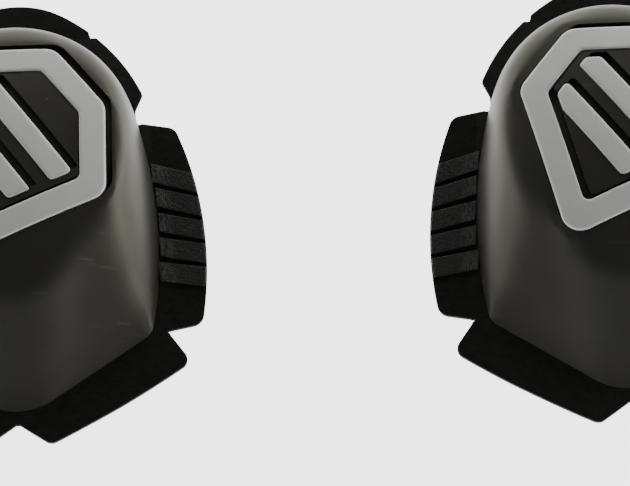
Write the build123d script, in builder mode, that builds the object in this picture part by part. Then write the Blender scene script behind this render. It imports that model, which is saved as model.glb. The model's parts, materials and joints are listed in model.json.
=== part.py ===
from build123d import *
import os
from math import asin, atan2, cos, degrees, hypot, radians, sin, tan

os.makedirs("parts", exist_ok=True)

# A pair of motorcycle knee sliders lying side by side on their hook faces, in millimetres.
# +X runs from the left guard to the right guard, +Y to the upper edges, +Z out of the domes.

# ---- driving dimensions --------------------------------------------------------------------
guard_spacing = 231.2        # centre line to centre line

hook_thickness = 1.6
cloth_thickness = 0.8
sheet_thickness = hook_thickness + cloth_thickness
rim_z = sheet_thickness      # the dome stands on the cloth

wall = 6.0                   # hard shell
groove_depth = 2.6
inlay_proud = 0.7
glue_gap = 0.1
inlay_clearance = 0.3
core_clearance = 0.4
plate_thickness = 1.6
plate_margin = 5.0           # plate edge inside the cavity's foot

# Dome foot, where the shell meets the cloth
foot_arc_y = 27.0
foot_arc_radius = 48.0
foot_flare = 19.0            # degrees past the half circle where the flank begins
foot_corner_x = 51.2
foot_corner_y = -47.8
foot_point_y = -81.4
foot_point_round = 24.0
foot_corner_round = 7.0

# Dome shoulder, half way up
shoulder_z = 20.0
shoulder_arc_y = 27.5
shoulder_arc_radius = 46.8
shoulder_flare = 12.0
shoulder_corner_x = 40.5
shoulder_corner_y = -25.0
shoulder_point_y = -61.0
shoulder_corner_round = 30.0
shoulder_point_round = 26.0

# Dome face, where the flat front ends
face_z = 34.0
face_arc_y = 28.0
face_arc_radius = 41.0
face_flare = 1.0
face_corner_x = 34.5
face_corner_y = -1.0
face_point_y = -44.0
face_corner_round = 34.0
face_point_round = 20.0

crown_radius = 240.0         # the front is slightly domed
crown_height = 33.5
crown_y = 8.0
edge_round = 8.0             # soft edge round the front
smallest_round = 1.5

# Hook-backed petals
hinge_clearance = 2.2        # dome foot to the flexing line
slit = 0.3                   # petal root to the centre sheet
root_end_gap = 1.3           # petal root ends stay back from the notches
side_hinge_y = 0.0           # where the side line is tangent to the dome
lip_reach = 13.0
lip_shoulder_x = 18.0         # the top arc runs between the shoulders
lip_shoulder_drop = 4.7
arm_tip_x = 49.3
arm_tip_y = 50.8
upper_notch_x = 46.4
upper_notch_y = 44.5
upper_notch_width = 6.0
side_top_x = 61.5
side_top_y = 36.2
side_reach = 15.2
side_bottom_x = 70.5
side_bottom_y = -44.5
lower_notch_x = 57.0
lower_notch_y = -46.8
lower_tip_x = 66.0
lower_tip_y = -59.5
lower_reach = 15.4
inner_tip_x = 12.5
inner_tip_y = -90.0
centre_notch_y = -81.8
tip_round = 4.0
side_round = 5.0
notch_round = 1.6

# Rubber grip bars on the side petals
grip_count = 5
grip_pitch = 9.4
grip_gap = 1.9
grip_top_y = 20.2
grip_slant = 13.5            # degrees, falling outwards
grip_thickness = 0.9
grip_hinge_gap = 1.3
grip_edge_gap = 0.4
grip_round = 0.3

# Inlaid badge: a six-sided ring round two slanted bars
ring_right_x = 36.5
ring_left_x = -37.0
ring_side_y = 36.0
ring_top_y = 61.0
ring_top_right_x = 17.0
ring_top_left_x = -17.0
ring_bottom_right_y = -1.0
ring_bottom_left_x = -22.0
ring_bottom_left_y = -26.0
ring_width = 10.0
ring_round = 2.5
bar_width = 9.0
bar_slant = 36.0             # degrees from upright
bar_gap = 3.2                # ring to bar ends
bar_spacing = 21.0
bar_middle_y = 19.0
shadow_x = 2.4
shadow_y = 2.0

# ---- shapes shared by several pieces -------------------------------------------------------


def shield(arc_y, arc_radius, flare, corner_x, corner_y, point_y, corner_round, point_round, inset):
    """One level of the dome: a top arc, two bowed flanks and a V, moved in by inset."""
    slope = atan2(corner_y - point_y, corner_x)
    radius = arc_radius - inset
    side_x = corner_x - inset
    side_y = corner_y + inset * (1 - sin(slope)) / cos(slope)
    low_y = point_y + inset / cos(slope)
    start_x = radius * cos(radians(flare))
    start_y = arc_y + radius * sin(radians(flare))
    run_x = sin(radians(flare))
    run_y = -cos(radians(flare))
    with BuildSketch() as level:
        with BuildLine():
            CenterArc((0, arc_y), radius, flare, 180 - 2 * flare)
            TangentArc((start_x, start_y), (side_x, side_y), tangent=(run_x, run_y))
            TangentArc((-start_x, start_y), (-side_x, side_y), tangent=(-run_x, run_y))
            Polyline((side_x, side_y), (0, low_y), (-side_x, side_y))
        make_face()
        fillet(level.vertices().group_by(Axis.Y)[0], max(point_round - inset, smallest_round))
        corners = level.vertices().filter_by(
            lambda v: abs(abs(v.X) - side_x) < 0.001 and abs(v.Y - side_y) < 0.001
        )
        fillet(corners, max(corner_round - inset, smallest_round))
    return level.sketch


def foot(inset):
    return shield(foot_arc_y, foot_arc_radius, foot_flare, foot_corner_x, foot_corner_y,
                  foot_point_y, foot_corner_round, foot_point_round, inset)


def shoulder(inset):
    return shield(shoulder_arc_y, shoulder_arc_radius, shoulder_flare, shoulder_corner_x,
                  shoulder_corner_y, shoulder_point_y, shoulder_corner_round,
                  shoulder_point_round, inset)


def front(inset):
    return shield(face_arc_y, face_arc_radius, face_flare, face_corner_x, face_corner_y,
                  face_point_y, face_corner_round, face_point_round, inset)


def dome(inset):
    """The dome as a solid, moved in by inset everywhere except at its flat foot."""
    with BuildPart() as solid:
        with BuildSketch(Plane.XY.offset(rim_z)):
            add(foot(inset))
        with BuildSketch(Plane.XY.offset(shoulder_z - inset)):
            add(shoulder(inset))
        with BuildSketch(Plane.XY.offset(face_z - inset)):
            add(front(inset))
        loft()
        with Locations((0, crown_y, crown_height - crown_radius)):
            Sphere(crown_radius - inset, mode=Mode.INTERSECT)
        crown = solid.faces().sort_by(Axis.Z)[-1]
        fillet(crown.edges(), max(edge_round - inset, smallest_round))
    return solid.part


# The three flexing lines of a half guard: a point on the line and its direction in degrees.
flare_x = foot_arc_radius * cos(radians(foot_flare))
flare_y = foot_arc_y + foot_arc_radius * sin(radians(foot_flare))
flank_chord = hypot(foot_corner_x - flare_x, flare_y - foot_corner_y)
flank_lean = degrees(asin((foot_corner_x - flare_x) / flank_chord))
flank_radius = flank_chord / 2 / sin(radians(foot_flare - flank_lean))
flank_centre_x = flare_x - flank_radius * cos(radians(foot_flare))
flank_centre_y = flare_y - flank_radius * sin(radians(foot_flare))
side_lean = degrees(asin((side_hinge_y - flank_centre_y) / flank_radius))
side_hinge_x = flank_centre_x + flank_radius * cos(radians(side_lean))
side_hinge_x = side_hinge_x + hinge_clearance / cos(radians(side_lean))
side_angle = 90 + side_lean

lower_angle = degrees(atan2(foot_corner_y - foot_point_y, foot_corner_x))
lower_hinge_x = foot_corner_x + hinge_clearance * sin(radians(lower_angle))
lower_hinge_y = foot_corner_y - hinge_clearance * cos(radians(lower_angle))

lip_hinge_y = foot_arc_y + foot_arc_radius + hinge_clearance
lip_edge_y = lip_hinge_y + lip_reach

# The outer edge of the whole hook-backed sheet
lip_fall = 2 * atan2(lip_shoulder_drop, lip_shoulder_x)
side_bulge_y = (side_top_y + side_bottom_y) / 2
side_bulge_x = side_hinge_x + side_reach - (side_bulge_y - side_hinge_y) * tan(radians(side_lean))
lower_middle_x = (lower_tip_x + inner_tip_x) / 2
lower_middle_y = lower_hinge_y + (lower_middle_x - lower_hinge_x) * tan(radians(lower_angle))
lower_bulge_x = lower_middle_x + lower_reach * sin(radians(lower_angle))
lower_bulge_y = lower_middle_y - lower_reach * cos(radians(lower_angle))

with BuildSketch() as sheet:
    with BuildLine() as sheet_edge:
        ThreePointArc(
            (-lip_shoulder_x, lip_edge_y - lip_shoulder_drop),
            (0, lip_edge_y),
            (lip_shoulder_x, lip_edge_y - lip_shoulder_drop),
        )
        for s in (-1, 1):
            TangentArc(
                (s * lip_shoulder_x, lip_edge_y - lip_shoulder_drop),
                (s * arm_tip_x, arm_tip_y),
                tangent=(s * cos(lip_fall), -sin(lip_fall)),
            )
            Polyline(
                (s * arm_tip_x, arm_tip_y),
                (s * upper_notch_x, upper_notch_y),
                (s * upper_notch_x, upper_notch_y - upper_notch_width),
                (s * side_top_x, side_top_y),
            )
            ThreePointArc(
                (s * side_top_x, side_top_y),
                (s * side_bulge_x, side_bulge_y),
                (s * side_bottom_x, side_bottom_y),
            )
            Polyline(
                (s * side_bottom_x, side_bottom_y),
                (s * lower_notch_x, lower_notch_y),
                (s * lower_tip_x, lower_tip_y),
            )
            ThreePointArc(
                (s * lower_tip_x, lower_tip_y),
                (s * lower_bulge_x, lower_bulge_y),
                (s * inner_tip_x, inner_tip_y),
            )
            Line((s * inner_tip_x, inner_tip_y), (0, centre_notch_y))
    make_face()

    def corner_at(x, y):
        return sheet.vertices().filter_by(
            lambda v: abs(abs(v.X) - x) < 0.001 and abs(v.Y - y) < 0.001
        )

    fillet(corner_at(arm_tip_x, arm_tip_y), tip_round / 2)
    fillet(corner_at(upper_notch_x, upper_notch_y), notch_round)
    fillet(corner_at(upper_notch_x, upper_notch_y - upper_notch_width), notch_round)
    fillet(corner_at(side_top_x, side_top_y), side_round)
    fillet(corner_at(side_bottom_x, side_bottom_y), side_round)
    fillet(corner_at(lower_notch_x, lower_notch_y), notch_round)
    fillet(corner_at(lower_tip_x, lower_tip_y), tip_round)
    fillet(corner_at(inner_tip_x, inner_tip_y), tip_round)
    fillet(corner_at(0, centre_notch_y), notch_round)

far = 2 * (side_bottom_x + lip_edge_y)       # longer than any guard
root_radius = sheet_thickness / 2
root_play = root_radius + slit
notch_middle_y = upper_notch_y - upper_notch_width / 2


def petal_zone(name, overlap, end_gap):
    """All the ground beyond a flexing line, begun overlap before it and cut back at its ends."""
    east = -1 if name.startswith("west") else 1
    with BuildSketch() as zone:
        if name == "lip":
            with Locations((0, lip_hinge_y - overlap)):
                Rectangle(far, far, align=(Align.CENTER, Align.MIN))
        elif name.endswith("side"):
            with Locations(Location((east * side_hinge_x, side_hinge_y, 0), (0, 0, east * side_lean))):
                with Locations((-east * overlap, 0)):
                    Rectangle(far, far, align=(Align.MIN if east > 0 else Align.MAX, Align.CENTER))
            with Locations((0, lower_notch_y + end_gap)):
                Rectangle(2 * far, notch_middle_y - lower_notch_y - 2 * end_gap,
                          align=(Align.CENTER, Align.MIN), mode=Mode.INTERSECT)
        else:
            with Locations(Location((east * lower_hinge_x, lower_hinge_y, 0), (0, 0, east * lower_angle))):
                with Locations((0, overlap)):
                    Rectangle(far, far, align=(Align.CENTER, Align.MAX))
            with Locations((east * end_gap, lower_notch_y - end_gap)):
                Rectangle(far, far, align=(Align.MIN if east > 0 else Align.MAX, Align.MAX),
                          mode=Mode.INTERSECT)
    return zone.sketch


def root_axis(name):
    """The flexing line of a petal as a plane: origin on the line, Z along it."""
    east = -1 if name.startswith("west") else 1
    if name == "lip":
        return Plane(origin=(0, lip_hinge_y, root_radius), z_dir=(1, 0, 0))
    if name.endswith("side"):
        run = radians(90 + east * side_lean)
        return Plane(origin=(east * side_hinge_x, side_hinge_y, root_radius), z_dir=(cos(run), sin(run), 0))
    run = radians(east * lower_angle)
    return Plane(origin=(east * lower_hinge_x, lower_hinge_y, root_radius), z_dir=(cos(run), sin(run), 0))


def petal_layer(name, low, high):
    """One layer of a petal, with its root rounded about the flexing line."""
    with BuildPart() as beyond:
        with BuildSketch():
            add(petal_zone(name, 0, 0))
        extrude(amount=sheet_thickness)
        with BuildSketch(root_axis(name)):
            Circle(root_radius)
        extrude(amount=far / 2, both=True)
    with BuildPart() as layer:
        with BuildSketch(Plane.XY.offset(low)):
            add(sheet.sketch)
            add(petal_zone(name, root_radius, root_end_gap), mode=Mode.INTERSECT)
        extrude(amount=high - low)
        add(beyond.part, mode=Mode.INTERSECT)
    return layer.part


petal_names = ("lip", "east_side", "west_side", "east_lower", "west_lower")

# ---- hard shell ----------------------------------------------------------------------------
ring_points = (
    (ring_bottom_left_x, ring_bottom_left_y),
    (ring_right_x, ring_bottom_right_y),
    (ring_right_x, ring_side_y),
    (ring_top_right_x, ring_top_y),
    (ring_top_left_x, ring_top_y),
    (ring_left_x, ring_side_y),
)


def ring_sketch():
    with BuildSketch() as ring:
        with BuildLine():
            Polyline(*ring_points, close=True)
        make_face()
        fillet(ring.vertices(), ring_round + ring_width / 2)
        add(ring_window(0), mode=Mode.SUBTRACT)
    return ring.sketch


def ring_window(extra):
    """The opening inside the ring, made smaller by extra."""
    with BuildSketch() as window:
        with BuildLine():
            Polyline(*ring_points, close=True)
        make_face()
        offset(amount=-ring_width - extra, kind=Kind.INTERSECTION)
        fillet(window.vertices(), ring_round)
    return window.sketch


def bar_sketch(middle_x):
    with BuildSketch() as bar:
        with Locations(Location((middle_x, bar_middle_y, 0), (0, 0, bar_slant))):
            Rectangle(bar_width, far)
        add(ring_window(bar_gap), mode=Mode.INTERSECT)
        fillet(bar.vertices().group_by(Axis.Y)[0], smallest_round)
        fillet(bar.vertices().group_by(Axis.Y)[-1], smallest_round)
    return bar.sketch


badge = {
    "inlay_ring": ring_sketch(),
    "inlay_bar_1": bar_sketch(-bar_spacing / 2),
    "inlay_bar_2": bar_sketch(bar_spacing / 2),
}


def badge_prism(outline, grow, cast):
    """The badge outline as a tall prism; cast adds the shadow groove beside it."""
    with BuildPart() as prism:
        with BuildSketch(Plane.XY.offset(shoulder_z / 2)):
            add(outline)
            if grow:
                offset(amount=grow, kind=Kind.INTERSECTION)
            if cast:
                add(outline.moved(Location((shadow_x, shadow_y, 0))))
        extrude(amount=face_z)
    return prism.part


skin = dome(0)
groove_floor = dome(groove_depth)
cavity = dome(wall)

with BuildPart() as shell:
    add(skin)
    for outline in badge.values():
        groove = badge_prism(outline, inlay_clearance, True) - groove_floor
        add(groove, mode=Mode.SUBTRACT)
    add(cavity, mode=Mode.SUBTRACT)

pieces = {"slider_shell": shell.part}

# ---- inlaid badge --------------------------------------------------------------------------
inlay_top = dome(-inlay_proud)
inlay_floor = dome(groove_depth - glue_gap)

for name, outline in badge.items():
    with BuildPart() as inlay:
        add(badge_prism(outline, 0, False))
        add(inlay_top, mode=Mode.INTERSECT)
        add(inlay_floor, mode=Mode.SUBTRACT)
    pieces[name] = inlay.part

# ---- padding inside the shell --------------------------------------------------------------
plate_top = rim_z + plate_thickness

with BuildPart() as plate:
    with BuildSketch(Plane.XY.offset(rim_z)):
        add(foot(wall + plate_margin))
    extrude(amount=plate_thickness)
pieces["backing_plate"] = plate.part

with BuildPart() as core:
    add(dome(wall + core_clearance))
    split(bisect_by=Plane.XY.offset(plate_top), keep=Keep.TOP)
pieces["foam_core"] = core.part

# ---- centre sheet --------------------------------------------------------------------------


def centre_layer(low, high):
    with BuildPart() as layer:
        with BuildSketch(Plane.XY.offset(low)):
            add(sheet.sketch)
            for petal in petal_names:
                add(petal_zone(petal, root_play, 0), mode=Mode.SUBTRACT)
        extrude(amount=high - low)
    return layer.part


pieces["centre_hook"] = centre_layer(0, hook_thickness)
pieces["centre_cloth"] = centre_layer(hook_thickness, sheet_thickness)

# ---- petals --------------------------------------------------------------------------------
for petal in petal_names:
    pieces[petal + "_hook"] = petal_layer(petal, 0, hook_thickness)
    pieces[petal + "_cloth"] = petal_layer(petal, hook_thickness, sheet_thickness)

# ---- grip bars -----------------------------------------------------------------------------
for east, petal in ((1, "east_side"), (-1, "west_side")):
    for row in range(grip_count):
        bar_y = grip_top_y - (row + 0.5) * grip_pitch
        with BuildPart() as grip:
            with BuildSketch(Plane.XY.offset(sheet_thickness)):
                add(sheet.sketch)
                offset(amount=-grip_edge_gap)
                add(petal_zone(petal, -grip_hinge_gap, root_end_gap), mode=Mode.INTERSECT)
                with Locations(Location((east * side_hinge_x, bar_y, 0), (0, 0, -east * grip_slant))):
                    Rectangle(far, grip_pitch - grip_gap, mode=Mode.INTERSECT)
            extrude(amount=grip_thickness)
            fillet(grip.faces().sort_by(Axis.Z)[-1].edges(), grip_round)
        pieces[f"{petal}_grip_{row + 1}"] = grip.part

# ---- the pair ------------------------------------------------------------------------------
middle_y = sheet.sketch.bounding_box().center().Y

for guard, centre_x, inner in (("left", -guard_spacing / 2, "east"), ("right", guard_spacing / 2, "west")):
    for name, piece in pieces.items():
        place = "inner" if name.startswith(inner) else "outer"
        name = name.replace("east", place).replace("west", place)
        placed = piece.moved(Location((centre_x, -middle_y, 0)))
        placed.label = f"{guard}_{name}"
        export_step(placed, f"parts/{placed.label}.step")

for petal in petal_names:
    axis = root_axis(petal)
    print(petal, axis.origin.X, axis.origin.Y - middle_y, axis.z_dir.X, axis.z_dir.Y)
print("middle_y", middle_y)
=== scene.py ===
import bpy
import json
from math import cos, radians, sin
from mathutils import Matrix, Vector, kdtree, noise


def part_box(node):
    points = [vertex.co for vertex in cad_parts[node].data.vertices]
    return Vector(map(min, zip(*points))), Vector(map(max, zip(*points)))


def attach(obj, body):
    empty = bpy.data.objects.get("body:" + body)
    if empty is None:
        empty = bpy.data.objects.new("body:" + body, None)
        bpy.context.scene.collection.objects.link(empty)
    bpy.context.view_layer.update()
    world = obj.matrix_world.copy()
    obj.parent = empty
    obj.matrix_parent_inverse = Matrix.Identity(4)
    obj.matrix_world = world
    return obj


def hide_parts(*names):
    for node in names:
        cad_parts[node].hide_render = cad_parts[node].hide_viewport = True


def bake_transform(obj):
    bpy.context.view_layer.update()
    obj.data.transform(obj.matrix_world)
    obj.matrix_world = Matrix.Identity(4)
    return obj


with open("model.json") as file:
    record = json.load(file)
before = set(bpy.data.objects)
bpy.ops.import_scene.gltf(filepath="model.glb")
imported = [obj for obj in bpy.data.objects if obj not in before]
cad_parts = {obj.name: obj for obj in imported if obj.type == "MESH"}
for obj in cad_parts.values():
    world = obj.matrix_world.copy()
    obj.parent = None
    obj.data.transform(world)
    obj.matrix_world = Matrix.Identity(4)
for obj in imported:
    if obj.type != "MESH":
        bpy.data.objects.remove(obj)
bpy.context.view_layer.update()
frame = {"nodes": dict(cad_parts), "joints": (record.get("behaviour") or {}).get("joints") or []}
nodes = frame["nodes"]
guards = ("left", "right")
petals = ("lip", "inner_side", "outer_side", "inner_lower", "outer_lower")
hinges = {j["child"]: j for j in frame["joints"] if j["type"] == "hinge"}

# Hook tape: the bottom layer of each guard, a black moulded strip that grips the patch on
# the rider's suit. It is cut into a middle and five petals, and the petals bend where the
# dome ends. Its small mushroom hooks stand in rows, and the pair lies on them.
hook_stand = 0.0005
hook_pitch = 0.0022
hook_row_pitch = 0.0027
root_reach = 0.004
root_sink = 0.00004
root_end_gap = 0.0013
root_edge = 0.0003
tape_middle = 0.001
bend_inside = 0.0019
bend_outside = 0.0012
curl_run = 0.014
loosest_lift = 0.00045
seam = 1e-6


def new_finish(name, color, roughness):
    """A new material of one colour and roughness, and the nodes that its grain is added to."""
    material = bpy.data.materials.new(name)
    material.use_nodes = True
    tree = material.node_tree
    skin = tree.nodes["Principled BSDF"]
    skin.inputs["Base Color"].default_value = (*color, 1)
    skin.inputs["Roughness"].default_value = roughness
    return material, tree, skin


def put(tree, kind, **values):
    """Adds a shader node, sets its values, and wires in those that are other nodes' sockets."""
    added = tree.nodes.new("ShaderNode" + kind)
    spots = {"a": 0, "b": 1}
    for key, value in values.items():
        title = key.replace("_", " ").title()
        if key not in spots and title not in added.inputs:
            setattr(added, key, value)
            continue
        socket = added.inputs[spots.get(key, title)]
        if isinstance(value, bpy.types.NodeSocket):
            tree.links.new(value, socket)
        else:
            socket.default_value = value
    return added


def ramp(tree, factor, *stops):
    """A colour ramp through (place, grey or colour) stops."""
    added = put(tree, "ValToRGB", fac=factor)
    spare = added.color_ramp.elements
    while len(spare) < len(stops):
        spare.new(0.5)
    for element, (place, shade) in zip(spare, stops):
        element.position = place
        element.color = (shade, shade, shade, 1) if isinstance(shade, (int, float)) else (*shade, 1)
    return added.outputs["Color"]


def on_surface(tree, stretch=(1, 1, 1), turn=0):
    """Object coordinates, stretched and turned about the upright axis."""
    where = put(tree, "TexCoord").outputs["Object"]
    return put(
        tree, "Mapping", vector=where, scale=stretch, rotation=(0, 0, turn)
    ).outputs["Vector"]


def emboss(tree, skin, height, depth, strength=1.0):
    """Lets a height pattern stand out by depth, in metres."""
    bump = put(tree, "Bump", height=height, distance=depth, strength=strength)
    tree.links.new(bump.outputs["Normal"], skin.inputs["Normal"])
    return bump


def copy_of(node_name, piece_name, flat_angle=0.5):
    """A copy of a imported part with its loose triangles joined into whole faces."""
    bpy.ops.object.select_all(action="DESELECT")
    mesh = nodes[node_name].data.copy()
    mesh.materials.clear()
    piece = bpy.data.objects.new(piece_name, mesh)
    bpy.context.collection.objects.link(piece)
    bpy.context.view_layer.objects.active = piece
    piece.select_set(True)
    bpy.ops.object.mode_set(mode="EDIT")
    bpy.ops.mesh.select_all(action="SELECT")
    bpy.ops.mesh.remove_doubles(threshold=seam)
    if flat_angle:
        bpy.ops.mesh.dissolve_limited(angle_limit=radians(flat_angle))
    bpy.ops.object.mode_set(mode="OBJECT")
    return piece


def hinge_line(guard, petal):
    """Where a petal's bend is: a point, the way out of the guard and the way along the bend."""
    joint = hinges[f"{guard}_{petal}_petal"]
    along = Vector(joint["axis"]).normalized()
    return Vector(joint["pos_m"]), Vector((-along.y, along.x, 0)), along


def lead_root(piece, middle, outward, along):
    """Runs a petal's root in under the middle sheet, and out to the notches at its ends."""
    root = [p for p in piece.data.vertices if (p.co - middle).dot(outward) < 0.0005]
    runs = [(p.co - middle).dot(along) for p in root]
    for point, run in zip(root, runs):
        point.co -= outward * root_reach
        if run < min(runs) + root_edge:
            point.co -= along * root_end_gap
        if run > max(runs) - root_edge:
            point.co += along * root_end_gap
    return root


def slice_up(piece, cuts, way):
    """Cuts a whole piece across at each point of cuts, so that it can bend there."""
    bpy.ops.object.mode_set(mode="EDIT")
    for place in cuts:
        bpy.ops.mesh.select_all(action="SELECT")
        bpy.ops.mesh.bisect(plane_co=place, plane_no=way)
    bpy.ops.object.mode_set(mode="OBJECT")


def petal_cuts(middle, outward, along, length=0.09, step=0.004):
    """The cuts across and along a petal: close together in its bend, wider beyond it."""
    out_places = [-0.0029, *(-bend_inside + 0.0005 * i for i in range(6)), bend_outside, 0.002]
    out_places += [0.0045 + step * i for i in range(8)]
    count = int(length / step)
    across = [middle + outward * place for place in out_places]
    lengthwise = [middle + along * (step * (i - count / 2) + 0.0003) for i in range(count + 1)]
    return across, lengthwise


def settle(piece, middle, outward, along):
    """Gives a petal's layers the same slight lift and waviness of a sheet lying loose."""
    for point in piece.data.vertices:
        away = max((point.co - middle).dot(outward) - bend_outside, 0)
        run = (point.co - middle).dot(along)
        wave = noise.noise(Vector((point.co.x, point.co.y, 0)) * 38)
        curl = min(away / curl_run, 1.0) ** 2
        point.co.z += max(curl * (loosest_lift + 0.0005 * wave + 0.0075 * abs(run)), 0)


def soften_edges(piece, width, segments, angle=55):
    """Rounds a piece's sharp outline and lets its faces shade smoothly up to it."""
    bevel = piece.modifiers.new("soft_edge", "BEVEL")
    bevel.width = width
    bevel.segments = segments
    bevel.limit_method = "ANGLE"
    bevel.angle_limit = radians(angle)
    bpy.context.view_layer.objects.active = piece
    bpy.ops.object.modifier_apply(modifier=bevel.name)
    bpy.ops.object.select_all(action="DESELECT")
    piece.select_set(True)
    bpy.ops.object.shade_smooth_by_angle(angle=radians(35))


hook_plastic, tree, skin = new_finish("hook_plastic", (0.011, 0.011, 0.010), 0.7)
skin.inputs["Specular IOR Level"].default_value = 0.12
grain = put(tree, "TexNoise", vector=on_surface(tree), scale=900, detail=4)
emboss(tree, skin, grain.outputs["Fac"], 0.0001, 0.5)
shade = ramp(tree, grain.outputs["Fac"], (0.3, (0.008, 0.008, 0.007)), (0.7, (0.017, 0.017, 0.016)))
tree.links.new(shade, skin.inputs["Base Color"])

# One hook is a five-sided stem under the tape that flares to a head; rows of it make the field.
bpy.ops.object.select_all(action="DESELECT")
bpy.ops.mesh.primitive_cylinder_add(
    vertices=5, radius=0.00026, depth=0.0004, location=(0, 0, 0.00032), end_fill_type="NOTHING"
)
stem = bpy.context.object
bpy.ops.object.transform_apply(location=True)
bpy.ops.object.mode_set(mode="EDIT")
bpy.ops.mesh.select_all(action="DESELECT")
bpy.ops.object.mode_set(mode="OBJECT")
for edge in stem.data.edges:
    edge.select = all(stem.data.vertices[i].co.z < 0.0002 for i in edge.vertices)
bpy.ops.object.mode_set(mode="EDIT")
bpy.ops.mesh.extrude_region_move(TRANSFORM_OT_translate={"value": (0, 0, -0.00005)})
bpy.ops.transform.resize(value=(2.1, 2.1, 1))
bpy.ops.mesh.extrude_region_move(TRANSFORM_OT_translate={"value": (0, 0, -0.00007)})
bpy.ops.transform.resize(value=(0.5, 0.5, 1))
bpy.ops.mesh.edge_face_add()
bpy.ops.object.mode_set(mode="OBJECT")


def hook_field(sheet, low, high):
    """Rows of hooks under one piece of tape, kept only where the tape is above them."""
    field = stem.copy()
    field.data = stem.data.copy()
    bpy.context.collection.objects.link(field)
    bpy.ops.object.select_all(action="DESELECT")
    field.select_set(True)
    bpy.context.view_layer.objects.active = field
    field.data.transform(Matrix.Translation((low.x, low.y, 0)))
    spans = ((0, hook_pitch, high.x - low.x), (1, hook_row_pitch, high.y - low.y))
    for way, pitch, span in spans:
        rows = field.modifiers.new("rows", "ARRAY")
        rows.use_relative_offset = False
        rows.use_constant_offset = True
        rows.constant_offset_displace = [pitch if way == i else 0 for i in range(3)]
        rows.count = max(int(span / pitch) + 1, 1)
        bpy.ops.object.modifier_apply(modifier=rows.name)
    each = len(stem.data.vertices)
    margin = 0.0009
    depth_below = -0.01
    for first in range(0, len(field.data.vertices), each):
        one = range(first, first + each)
        x = sum(field.data.vertices[i].co.x for i in one) / each
        y = sum(field.data.vertices[i].co.y for i in one) / each
        spots = ((x + margin, y), (x - margin, y), (x, y + margin), (x, y - margin))
        missing = not all(sheet.ray_cast((a, b, depth_below), (0, 0, 1))[0] for a, b in spots)
        for i in one:
            field.data.vertices[i].select = missing
    bpy.ops.object.mode_set(mode="EDIT")
    bpy.ops.mesh.select_mode(type="VERT")
    bpy.ops.object.mode_set(mode="OBJECT")
    bpy.ops.object.mode_set(mode="EDIT")
    bpy.ops.mesh.delete(type="VERT")
    bpy.ops.object.mode_set(mode="OBJECT")
    return field


def join_into(piece, *others):
    """Makes the others part of the piece's own mesh."""
    bpy.ops.object.select_all(action="DESELECT")
    for other in (piece, *others):
        other.select_set(True)
    bpy.context.view_layer.objects.active = piece
    bpy.ops.object.join()


for guard in guards:
    for part in ("centre", *petals):
        node_name = f"{guard}_{part}_hook"
        tape = copy_of(node_name, f"{node_name}_tape")
        for point in tape.data.vertices:
            point.co.z = max(point.co.z, hook_stand)
        if part != "centre":
            middle, outward, along = hinge_line(guard, part)
            for point in lead_root(tape, middle, outward, along):
                point.co.z += root_sink if point.co.z < tape_middle else -root_sink
            across, lengthwise = petal_cuts(middle, outward, along)
            slice_up(tape, across, outward)
            slice_up(tape, lengthwise, along)
        soften_edges(tape, 0.0002, 2)
        tape.data.update()
        bpy.context.view_layer.update()
        low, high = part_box(node_name)
        field = hook_field(nodes[node_name], low + Vector((0.001, 0.001, 0)), high)
        join_into(tape, field)
        if part != "centre":
            settle(tape, middle, outward, along)
        tape.data.materials.clear()
        tape.data.materials.append(hook_plastic)
        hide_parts(node_name)
        if part == "centre":
            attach(tape, f"{guard}_guard")
        else:
            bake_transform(tape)
bpy.data.objects.remove(stem)

# Cloth: a thin black brushed felt, bonded over the hook tape and cut with it, so that the
# middle and its five petals look like one sheet. Its nap holds a little pale lint.
cloth_middle = 0.002
petal_proud = 0.00003
black_felt, tree, skin = new_finish("black_felt", (0.006, 0.006, 0.005), 0.95)
skin.inputs["Specular IOR Level"].default_value = 0.25
skin.inputs["Sheen Weight"].default_value = 0.12
skin.inputs["Sheen Roughness"].default_value = 0.5
skin.inputs["Sheen Tint"].default_value = (0.6, 0.6, 0.52, 1)
nap = put(tree, "TexNoise", vector=on_surface(tree), scale=1500, detail=3, roughness=0.7)
brushed_way = on_surface(tree, (1, 1.6, 1), 0.5)
tufts = put(tree, "TexNoise", vector=brushed_way, scale=260, detail=5, roughness=0.6)
both = put(tree, "Math", operation="ADD", a=nap.outputs["Fac"], b=tufts.outputs["Fac"])
emboss(tree, skin, both.outputs["Value"], 0.00022, 0.8)
shade = ramp(
    tree, tufts.outputs["Fac"], (0.35, (0.0065, 0.0065, 0.0055)), (0.7, (0.0145, 0.0145, 0.012))
)
fibre_spots = put(
    tree, "TexVoronoi", vector=on_surface(tree, (1, 0.32, 1), 0.7), scale=240, randomness=1.0
)
near = ramp(tree, fibre_spots.outputs["Distance"], (0.035, 1), (0.09, 0))
chosen = put(tree, "SeparateColor", color=fibre_spots.outputs["Color"])
rare = ramp(tree, chosen.outputs["Red"], (0.86, 0), (0.9, 1))
lint = put(tree, "Math", operation="MULTIPLY", a=near, b=rare)
linted = put(
    tree, "MixRGB", fac=lint.outputs["Value"], color1=shade, color2=(0.10, 0.10, 0.085, 1)
)
tree.links.new(linted.outputs["Color"], skin.inputs["Base Color"])

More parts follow.
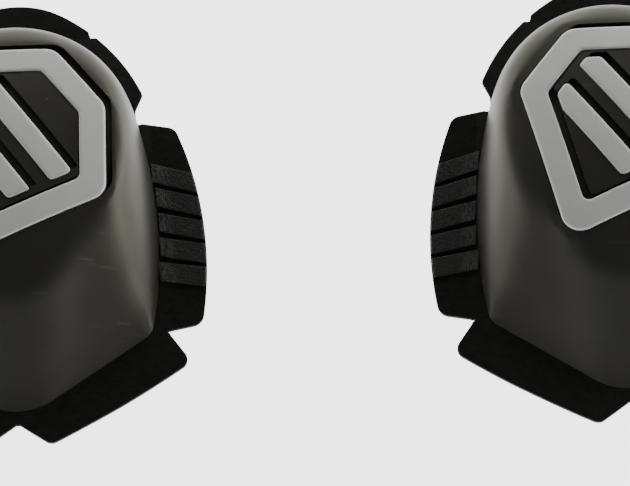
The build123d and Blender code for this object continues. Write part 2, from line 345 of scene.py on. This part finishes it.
for guard in guards:
    for part in ("centre", *petals):
        node_name = f"{guard}_{part}_cloth"
        cloth = copy_of(node_name, f"{node_name}_felt")
        low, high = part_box(node_name)
        if part != "centre":
            middle, outward, along = hinge_line(guard, part)
            for point in cloth.data.vertices:
                if point.co.z > cloth_middle:
                    point.co.z += petal_proud
            for point in lead_root(cloth, middle, outward, along):
                point.co.z -= 2 * root_sink if point.co.z > cloth_middle else 0
        if part != "centre":
            across, lengthwise = petal_cuts(middle, outward, along)
            slice_up(cloth, across, outward)
            slice_up(cloth, lengthwise, along)
        soften_edges(cloth, 0.0003, 3)
        cloth.data.materials.append(black_felt)
        if part != "centre":
            settle(cloth, middle, outward, along)
        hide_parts(node_name)
        if part == "centre":
            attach(cloth, f"{guard}_guard")
        else:
            for way in (outward, along):
                places = [point.co.dot(way) for point in cloth.data.vertices]
            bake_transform(cloth)

# Grip bars: five flat strips of leather-grained rubber, glued across each side petal from
# the dome to the petal's edge. They crease where the petal bends, next to the dome.
bar_grain_cell = 1500
bar_end_band = 0.0004
bar_end_round = 0.00045
bar_dome_gap = 0.0003
bar_top_skin = 0.0002
bar_half_span = 0.040
fine_cut, bend_cut, wide_cut = 0.0004, 0.0008, 0.0014
crease_end = 0.0042
crease_fade = 0.0045
crease_pitch = (1500, 420)
wrinkle_height = 0.00016
pucker_height = 0.00006
grip_leather, tree, skin = new_finish("grip_leather", (0.022, 0.022, 0.021), 0.5)
pebbles = put(
    tree, "TexVoronoi", vector=on_surface(tree), scale=bar_grain_cell, feature="SMOOTH_F1"
)
pores = put(tree, "TexNoise", vector=on_surface(tree), scale=700, detail=5, roughness=0.65)
both = put(
    tree, "Math", operation="SUBTRACT", a=pores.outputs["Fac"], b=pebbles.outputs["Distance"]
)
crease_map = put(tree, "UVMap", uv_map="creases").outputs["UV"]
folds = put(
    tree, "TexNoise", vector=crease_map, scale=1, detail=3, roughness=0.6, distortion=0.6
)
fold_lines = ramp(tree, folds.outputs["Fac"], (0.42, 0), (0.5, 1), (0.58, 0))
near_dome = put(tree, "Attribute", attribute_name="near_dome").outputs["Fac"]
creased = put(tree, "Math", operation="MULTIPLY", a=fold_lines, b=near_dome)
height = put(tree, "Math", operation="MULTIPLY_ADD", a=creased.outputs["Value"], b=1.2)
tree.links.new(both.outputs["Value"], height.inputs[2])
emboss(tree, skin, height.outputs["Value"], 0.00025, 0.8)
# The grain's colour follows its bump: lighter on the pebbles' tops and darker in the hollows
# between them.
pebble_tone = ramp(
    tree, both.outputs["Value"], (0.1, (0.012, 0.012, 0.011)), (0.6, (0.034, 0.034, 0.032))
)
# Painted highlight: the creases by the dome are painted lighter in the base colour, as if they
# caught the light.
painted_crease_highlight = put(
    tree, "MixRGB", fac=creased.outputs["Value"], color1=pebble_tone, color2=(0.07, 0.07, 0.065, 1)
)
tree.links.new(painted_crease_highlight.outputs["Color"], skin.inputs["Base Color"])
rough = ramp(tree, pores.outputs["Fac"], (0.3, 0.40), (0.7, 0.58))
tree.links.new(rough, skin.inputs["Roughness"])


def reach_dome(bar, shell, places, level, middle, outward, along):
    """Runs a bar's inner end on to just short of the dome, in the way the bar lies."""
    inner, outer = min(places)[0], max(places)[0]
    ends = []
    for end in (inner, outer):
        there = [run for away, run in places if abs(away - end) < bar_end_band]
        ends.append(sum(there) / len(there))
    near_end = middle + outward * inner + along * ends[0]
    near_end.z = level
    way = (outward * (outer - inner) + along * (ends[1] - ends[0])).normalized()
    hit, spot, normal, index = shell.ray_cast(near_end, -way)
    reach = max((spot - near_end).length - bar_dome_gap, 0.001) if hit else 0.003
    for point in bar.data.vertices:
        if (point.co - middle).dot(outward) < inner + bar_end_round:
            point.co -= way * reach


def crease(bar, number, top, middle, outward, along):
    """Wrinkles a bar's top by the dome, and lays the creases' map on it."""
    mesh = bar.data
    closeness = mesh.attributes.new("near_dome", "FLOAT", "POINT")
    for index, point in enumerate(mesh.vertices):
        away = (point.co - middle).dot(outward)
        run = (point.co - middle).dot(along)
        near = min(max((crease_end - away) / crease_fade, 0), 1)
        closeness.data[index].value = near
        if point.co.z > top:
            wrinkle = noise.noise(Vector((away * 1100, run * 260, number * 3)))
            pucker = noise.noise(Vector((away * 260, run * 190, number * 5)))
            point.co.z += wrinkle_height * near * wrinkle + pucker_height * pucker
            point.co.z -= 0.0001 * near
    crease_uv = mesh.uv_layers.new(name="creases")
    for corner in mesh.loops:
        offset = mesh.vertices[corner.vertex_index].co - middle
        crease_uv.data[corner.index].uv = (
            offset.dot(outward) * crease_pitch[0],
            offset.dot(along) * crease_pitch[1],
        )


for guard in guards:
    shell = nodes[f"{guard}_slider_shell"]
    for part in ("inner_side", "outer_side"):
        middle, outward, along = hinge_line(guard, part)
        for number in range(1, 6):
            node_name = f"{guard}_{part}_grip_{number}"
            low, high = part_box(node_name)
            bar = copy_of(node_name, f"{node_name}_leather", 2)
            places = [
                ((p.co - middle).dot(outward), (p.co - middle).dot(along))
                for p in bar.data.vertices
            ]
            level = (low.z + high.z) / 2 + 0.0002
            reach_dome(bar, shell, places, level, middle, outward, along)
            across = [middle + outward * (-0.0028 + fine_cut * i) for i in range(22)]
            across += [middle + outward * (0.0062 + wide_cut * i) for i in range(9)]
            runs = [run for away, run in places]
            steps = [bend_cut * i - bar_half_span for i in range(101)]
            lengthwise = [middle + along * step for step in steps if min(runs) < step < max(runs)]
            slice_up(bar, across, outward)
            slice_up(bar, lengthwise, along)
            crease(bar, number, high.z - bar_top_skin, middle, outward, along)
            settle(bar, middle, outward, along)
            bpy.ops.object.select_all(action="DESELECT")
            bar.select_set(True)
            bpy.ops.object.shade_smooth_by_angle(angle=radians(40))
            bar.data.materials.append(grip_leather)
            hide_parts(node_name)
            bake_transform(bar)

# Stiffener and foam: a thin plastic plate on the felt's middle, and a block of grey
# closed-cell foam that fills the dome above it. Both are sealed in under the slider.
stiffener, tree, skin = new_finish("stiffener_sheet", (0.05, 0.05, 0.05), 0.5)
grain = put(tree, "TexNoise", vector=on_surface(tree), scale=500, detail=3)
emboss(tree, skin, grain.outputs["Fac"], 0.0001, 0.4)
shade = ramp(tree, grain.outputs["Fac"], (0.3, 0.04), (0.7, 0.06))
tree.links.new(shade, skin.inputs["Base Color"])
foam, tree, skin = new_finish("closed_cell_foam", (0.06, 0.06, 0.065), 0.9)
cells = put(tree, "TexVoronoi", vector=on_surface(tree), scale=900)
emboss(tree, skin, cells.outputs["Distance"], 0.0003, 0.7)
shade = ramp(tree, cells.outputs["Distance"], (0.0, 0.03), (0.5, 0.08))
tree.links.new(shade, skin.inputs["Base Color"])

# Badge inlays: soft light grey rubber, moulded apart and pressed into the shell's grooves
# a little proud of it: a six-sided ring round two slanted bars.
inlay_voxel = 0.00042
inlay_rounding = 24
inlay_rubber, tree, skin = new_finish("inlay_rubber", (0.55, 0.55, 0.55), 0.4)
cloudy = put(tree, "TexNoise", vector=on_surface(tree), scale=60, detail=4, roughness=0.6)
tint = ramp(tree, cloudy.outputs["Fac"], (0.3, (0.66, 0.66, 0.67)), (0.7, (0.72, 0.72, 0.725)))
smudges = put(tree, "TexNoise", vector=on_surface(tree), scale=130, detail=6, roughness=0.75)
dirt = ramp(tree, smudges.outputs["Fac"], (0.62, 0), (0.80, 0.35))
stained = put(tree, "MixRGB", fac=dirt, color1=tint, color2=(0.36, 0.34, 0.31, 1))
tree.links.new(stained.outputs["Color"], skin.inputs["Base Color"])
fine = put(tree, "TexNoise", vector=on_surface(tree), scale=1200, detail=2)
emboss(tree, skin, fine.outputs["Fac"], 0.00004, 0.3)
badges = {guard: [] for guard in guards}
for guard in guards:
    for part in ("ring", "bar_1", "bar_2"):
        node_name = f"{guard}_inlay_{part}"
        inlay = copy_of(node_name, f"{node_name}_rubber", 0)
        remesh = inlay.modifiers.new("skin", "REMESH")
        remesh.mode = "VOXEL"
        remesh.voxel_size = inlay_voxel
        remesh.use_smooth_shade = True
        bpy.ops.object.modifier_apply(modifier=remesh.name)
        relax = inlay.modifiers.new("round", "SMOOTH")
        relax.factor = 0.5
        relax.iterations = inlay_rounding
        bpy.ops.object.modifier_apply(modifier=relax.name)
        inlay.data.materials.clear()
        inlay.data.materials.append(inlay_rubber)
        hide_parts(node_name)
        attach(inlay, f"{guard}_guard")
        badges[guard].append(inlay)

# Slider shell: the hard dome, one satin charcoal urethane moulding that scrapes the road.
# It has a fine moulded grain, patches of faint hairline scuffs, and a few pale specks.
foot_kept = 0.005
foot_fade = 0.004
badge_level = 0.02
badge_rim = 0.0036
badge_fade = 0.003
ridge_rounding = 220
slider_urethane, tree, skin = new_finish("slider_urethane", (0.016, 0.016, 0.015), 0.4)
skin.inputs["Specular Tint"].default_value = (1, 0.975, 0.8, 1)
mottle = put(tree, "TexNoise", vector=on_surface(tree), scale=26, detail=4, roughness=0.6)
body_shade = ramp(
    tree, mottle.outputs["Fac"], (0.3, (0.0175, 0.0175, 0.0165)), (0.7, (0.0215, 0.0215, 0.0203))
)
hairlines = None
for turn, scale in ((0.55, 95), (-0.7, 80), (1.35, 110)):
    strokes = put(
        tree, "TexNoise", vector=on_surface(tree, (0.06, 2.4, 0.5), turn), scale=scale * 3, detail=2
    )
    turned = on_surface(tree, turn=turn)
    patches = put(tree, "TexNoise", vector=turned, scale=scale * 0.55, detail=2)
    thin = ramp(tree, strokes.outputs["Fac"], (0.66, 0), (0.72, 1))
    here = ramp(tree, patches.outputs["Fac"], (0.52, 0), (0.64, 1))
    one_way = put(tree, "Math", operation="MULTIPLY", a=thin, b=here).outputs["Value"]
    if hairlines is not None:
        one_way = put(tree, "Math", operation="MAXIMUM", a=hairlines, b=one_way).outputs["Value"]
    hairlines = one_way
dust_spots = put(tree, "TexVoronoi", vector=on_surface(tree), scale=120, randomness=1.0)
dust_core = ramp(tree, dust_spots.outputs["Distance"], (0.015, 1), (0.04, 0))
dust_choice = put(tree, "SeparateColor", color=dust_spots.outputs["Color"])
dust_rare = ramp(tree, dust_choice.outputs["Red"], (0.62, 0), (0.66, 1))
dust = put(tree, "Math", operation="MULTIPLY", a=dust_core, b=dust_rare).outputs["Value"]
scuffed = put(tree, "MixRGB", color1=body_shade, color2=(0.045, 0.045, 0.042, 1))
faint = put(tree, "Math", operation="MULTIPLY", a=hairlines, b=0.5)
tree.links.new(faint.outputs["Value"], scuffed.inputs["Fac"])
dusty = put(tree, "MixRGB", fac=dust, color1=scuffed.outputs["Color"], color2=(0.16, 0.16, 0.14, 1))
tree.links.new(dusty.outputs["Color"], skin.inputs["Base Color"])
sheen_patches = put(tree, "TexNoise", vector=on_surface(tree), scale=55, detail=5, roughness=0.65)
gloss = ramp(tree, sheen_patches.outputs["Fac"], (0.3, 0.37), (0.7, 0.45))
dulled = put(tree, "Math", operation="MULTIPLY_ADD", a=hairlines, b=0.12)
tree.links.new(gloss, dulled.inputs[2])
tree.links.new(dulled.outputs["Value"], skin.inputs["Roughness"])
skin_grain = put(tree, "TexNoise", vector=on_surface(tree), scale=1800, detail=2)
dents = put(tree, "Math", operation="MULTIPLY_ADD", a=hairlines, b=-0.5)
tree.links.new(skin_grain.outputs["Fac"], dents.inputs[2])
emboss(tree, skin, dents.outputs["Value"], 0.00005, 0.35)

for guard in guards:
    for part, material in (("foam_core", foam), ("backing_plate", stiffener)):
        node = nodes[f"{guard}_{part}"]
        node.data.materials.clear()
        node.data.materials.append(material)
    node_name = f"{guard}_slider_shell"
    dome = copy_of(node_name, f"{node_name}_moulding", 0)
    even = dome.modifiers.new("even_faces", "REMESH")
    even.mode = "SHARP"
    even.octree_depth = 8
    even.scale = 0.74
    even.sharpness = 1.0
    even.use_remove_disconnected = False
    even.use_smooth_shade = True
    bpy.ops.object.modifier_apply(modifier=even.name)
    # The ridges soften away from the badge and the foot, whose edges stay as moulded.
    edges = kdtree.KDTree(sum(len(badge.data.vertices) for badge in badges[guard]))
    for badge in badges[guard]:
        for point in badge.data.vertices:
            edges.insert(point.co, point.index)
    edges.balance()
    low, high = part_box(node_name)
    heart = (low + high) / 2
    shares = {}
    for index, point in enumerate(dome.data.vertices):
        place = point.co
        sideways = Vector((place.x - heart.x, place.y - heart.y, 0))
        if point.normal.z < 0.12 and point.normal.dot(sideways) <= 0:
            continue
        if point.normal.z < -0.2 or place.z < foot_kept:
            continue
        weight = min((place.z - foot_kept) / foot_fade, 1)
        if place.z > badge_level:
            gap = edges.find(place)[2]
            weight *= min(max((gap - badge_rim) / badge_fade, 0), 1)
        shares.setdefault(round(weight, 1), []).append(index)
    walls = dome.vertex_groups.new(name="walls")
    for weight, chosen in shares.items():
        walls.add(chosen, weight, "REPLACE")
    relax = dome.modifiers.new("soft_ridges", "SMOOTH")
    relax.factor = 0.5
    relax.iterations = ridge_rounding
    relax.vertex_group = "walls"
    bpy.ops.object.modifier_apply(modifier=relax.name)
    bpy.ops.object.select_all(action="DESELECT")
    dome.select_set(True)
    bpy.ops.object.shade_smooth_by_angle(angle=radians(40))
    dome.data.materials.clear()
    dome.data.materials.append(slider_urethane)
    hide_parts(node_name)
    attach(dome, f"{guard}_guard")

# The table top under the pair is plain, pale and far larger than it.
bpy.ops.object.select_all(action="DESELECT")
bpy.ops.mesh.primitive_plane_add(size=6, location=(0, 0, -0.0003))
floor = bpy.context.object
floor.name = "table_top"
table_paint, tree, skin = new_finish("table_paint", (0.9, 0.9, 0.9), 0.9)
skin.inputs["Specular IOR Level"].default_value = 0.1
skin.inputs["Emission Color"].default_value = (1, 1, 1, 1)
skin.inputs["Emission Strength"].default_value = 3.4
floor.data.materials.append(table_paint)

# Soft studio light: long boxes low beside the pair that the dome's walls reflect, a strip
# behind the upper edges, and a room that is pale at the horizon and dark overhead.
for name, place, size, power in (
    ("left_box", (-1.3, 0.1, 0.15), (1.8, 0.26), 4.5),
    ("right_box", (1.3, 0.1, 0.15), (1.8, 0.26), 12),
    ("rear_strip", (0, 1.4, 0.45), (2.4, 0.5), 14),
):
    bpy.ops.object.light_add(type="AREA", location=place)
    lamp = bpy.context.object
    lamp.name = name
    lamp.data.shape = "RECTANGLE"
    lamp.data.size, lamp.data.size_y = size
    lamp.data.energy = power
    lamp.data.color = (1, 0.985, 0.88)
    lamp.rotation_euler = Vector(place).to_track_quat("Z", "Y").to_euler()
room = bpy.data.worlds.new("studio")
bpy.context.scene.world = room
room.use_nodes = True
air = room.node_tree
skyward = put(air, "SeparateXYZ", vector=put(air, "TexCoord").outputs["Generated"])
fade = ramp(air, skyward.outputs["Z"], (0.0, 1), (0.2, 0.85), (0.42, 0.16), (0.8, 0.11))
air.links.new(fade, air.nodes["Background"].inputs["Color"])
air.nodes["Background"].inputs["Strength"].default_value = 1.35

# The viewer stands above the pair and a little in front, looking down at the gap between
# the guards, with the head tilted by two degrees.
camera_lift = radians(70)
camera_roll = radians(2.2)
camera_reach = 1.25
aim = Vector((-0.0012, -0.0131, 0))
back = Vector((0, -cos(camera_lift), sin(camera_lift)))
level = Vector((1, 0, 0))
upright = back.cross(level)
right = level * cos(camera_roll) - upright * sin(camera_roll)
up = level * sin(camera_roll) + upright * cos(camera_roll)
bpy.ops.object.camera_add(location=aim + back * camera_reach)
camera = bpy.context.object
camera.rotation_euler = Matrix((right, up, back)).transposed().to_euler()
camera.data.sensor_width = 36
camera.data.lens = 36 * 2600 * camera_reach / 630
camera.data.clip_start = 0.01
bpy.context.scene.camera = camera
